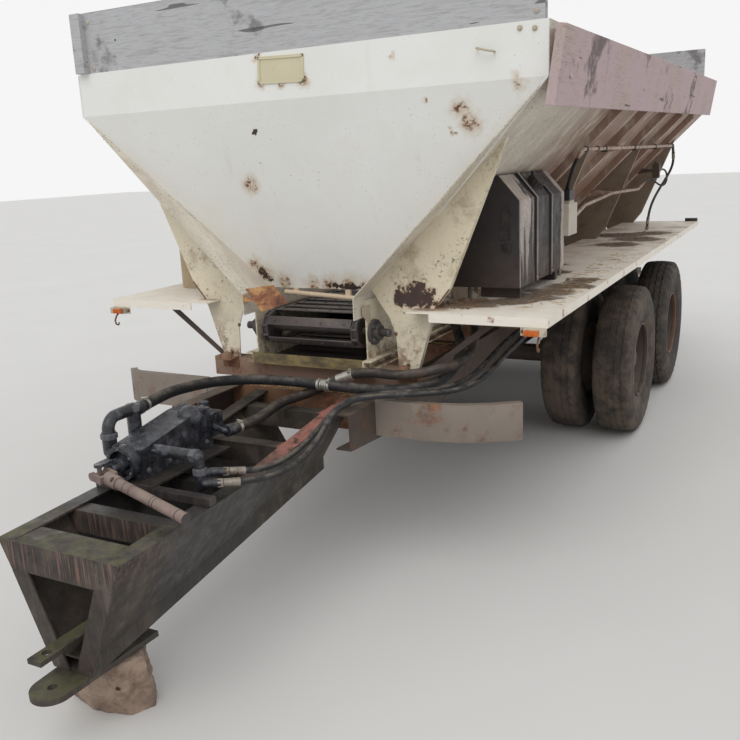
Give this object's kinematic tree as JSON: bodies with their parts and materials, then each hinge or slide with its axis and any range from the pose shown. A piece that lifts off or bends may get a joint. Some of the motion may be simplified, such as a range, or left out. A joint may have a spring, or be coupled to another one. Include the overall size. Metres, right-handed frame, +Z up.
{
  "type": "towed fertilizer spreader",
  "caption": "Towed V-box fertilizer spreader on a cut-down truck frame with dual-wheel tandem axles, floor conveyor, rear spinners and a drawbar with pump.",
  "frame": {"origin": "on the ground under the middle of the machine's overall box", "axes": "+Y to the machine's rear, +X to its left side, +Z up; the hitch points along -Y"},
  "size_m": [2.607, 7.4849, 2.74],
  "materials": {
    "hopper_paint": "chalky cream-white paint with rust spots and dirt",
    "weathered_wood": "weathered grey planks",
    "frame_steel": "rusty dark frame paint",
    "bumper_steel": "worn grey paint with rust",
    "conveyor_steel": "dark dirty steel",
    "cast_parts": "greasy castings",
    "tongue_steel": "oily dark rust",
    "block_wood": "rotted wood chunk",
    "tank_paint": "faded dark paint, streaked",
    "canister_paint": "stained cream paint",
    "shaft_steel": "rusty tube",
    "spinner_steel": "worn steel",
    "tyre_rubber": "dusty rubber",
    "wheel_paint": "rusty orange-brown disc wheels",
    "hose_rubber": "dusty black hose",
    "fitting_steel": "dull crimped fittings",
    "line_paint": "stained cream pipes",
    "guard_paint": "rusty painted guard pieces",
    "lamp_lens": "amber and red lenses on dark bodies"
  },
  "bodies": {
    "root": {"hopper_side_left": "hopper_paint", "hopper_side_right": "hopper_paint", "hopper_front": "hopper_paint", "hopper_rear": "hopper_paint", "side_ribs": "hopper_paint", "hopper_legs": "hopper_paint", "side_boards": "weathered_wood", "end_boards": "weathered_wood", "frame_rails": "frame_steel", "frame_crossmembers": "frame_steel", "cross_bearers": "frame_steel", "front_bumper": "bumper_steel", "fenders": "hopper_paint", "fender_braces": "frame_steel", "trough_sides": "hopper_paint", "trough_floors": "conveyor_steel", "conveyor_chain": "conveyor_steel", "conveyor_shafts": "conveyor_steel", "flange_bearings": "cast_parts", "axles": "frame_steel", "leaf_springs": "frame_steel", "spring_hangers": "frame_steel", "tongue_sides": "tongue_steel", "tongue_keel": "tongue_steel", "tongue_beam": "tongue_steel", "tongue_crossmembers": "tongue_steel", "nose_posts": "tongue_steel", "hitch_ears": "tongue_steel", "support_block": "block_wood", "oil_tank": "tank_paint", "tank_fittings": "tank_paint", "canister": "canister_paint", "pump_body": "cast_parts", "pump_deck": "tongue_steel", "pump_ports": "cast_parts", "spinner_motors": "cast_parts", "spinner_frame": "frame_steel", "gate_guides": "frame_steel", "hose_suction": "hose_rubber", "hose_return": "hose_rubber", "hose_pressure_upper": "hose_rubber", "hose_pressure_lower": "hose_rubber", "hose_rear_drop": "hose_rubber", "hose_rear_loop": "hose_rubber", "hose_fittings": "fitting_steel", "steel_lines": "line_paint", "conveyor_guards": "guard_paint", "lamps": "lamp_lens"},
    "dual_front_left": {"tyres_front_left": "tyre_rubber", "wheels_front_left": "wheel_paint"},
    "dual_front_right": {"tyres_front_right": "tyre_rubber", "wheels_front_right": "wheel_paint"},
    "dual_rear_left": {"tyres_rear_left": "tyre_rubber", "wheels_rear_left": "wheel_paint"},
    "dual_rear_right": {"tyres_rear_right": "tyre_rubber", "wheels_rear_right": "wheel_paint"},
    "spinner_left_disc": {"spinner_left": "spinner_steel"},
    "spinner_right_disc": {"spinner_right": "spinner_steel"},
    "metering_gate": {"rear_gate": "spinner_steel"},
    "pto_shaft": {"drive_shaft": "shaft_steel"}
  },
  "joints": [
    {"name": "dual_front_left_spin", "type": "hinge", "parent": "root", "child": "dual_front_left", "pos_m": [0.878, 0.5225, 0.51], "axis": [1, 0, 0], "continuous": true},
    {"name": "dual_front_right_spin", "type": "hinge", "parent": "root", "child": "dual_front_right", "pos_m": [-0.878, 0.5225, 0.51], "axis": [1, 0, 0], "continuous": true},
    {"name": "dual_rear_left_spin", "type": "hinge", "parent": "root", "child": "dual_rear_left", "pos_m": [0.878, 1.8745, 0.51], "axis": [1, 0, 0], "continuous": true},
    {"name": "dual_rear_right_spin", "type": "hinge", "parent": "root", "child": "dual_rear_right", "pos_m": [-0.878, 1.8745, 0.51], "axis": [1, 0, 0], "continuous": true},
    {"name": "spinner_left_spin", "type": "hinge", "parent": "root", "child": "spinner_left_disc", "pos_m": [0.34, 3.4125, 0.69], "axis": [0, 0, 1], "continuous": true},
    {"name": "spinner_right_spin", "type": "hinge", "parent": "root", "child": "spinner_right_disc", "pos_m": [-0.34, 3.4125, 0.69], "axis": [0, 0, 1], "continuous": true},
    {"name": "gate_lift", "type": "slide", "parent": "root", "child": "metering_gate", "axis": [0, 0, 1], "range_m": [0, 0.26]},
    {"name": "pto_swing", "type": "hinge", "parent": "root", "child": "pto_shaft", "pos_m": [-0.14, -3.2125, 0.838], "axis": [0, 0, 1], "range_deg": [-82, 0]}
  ]
}
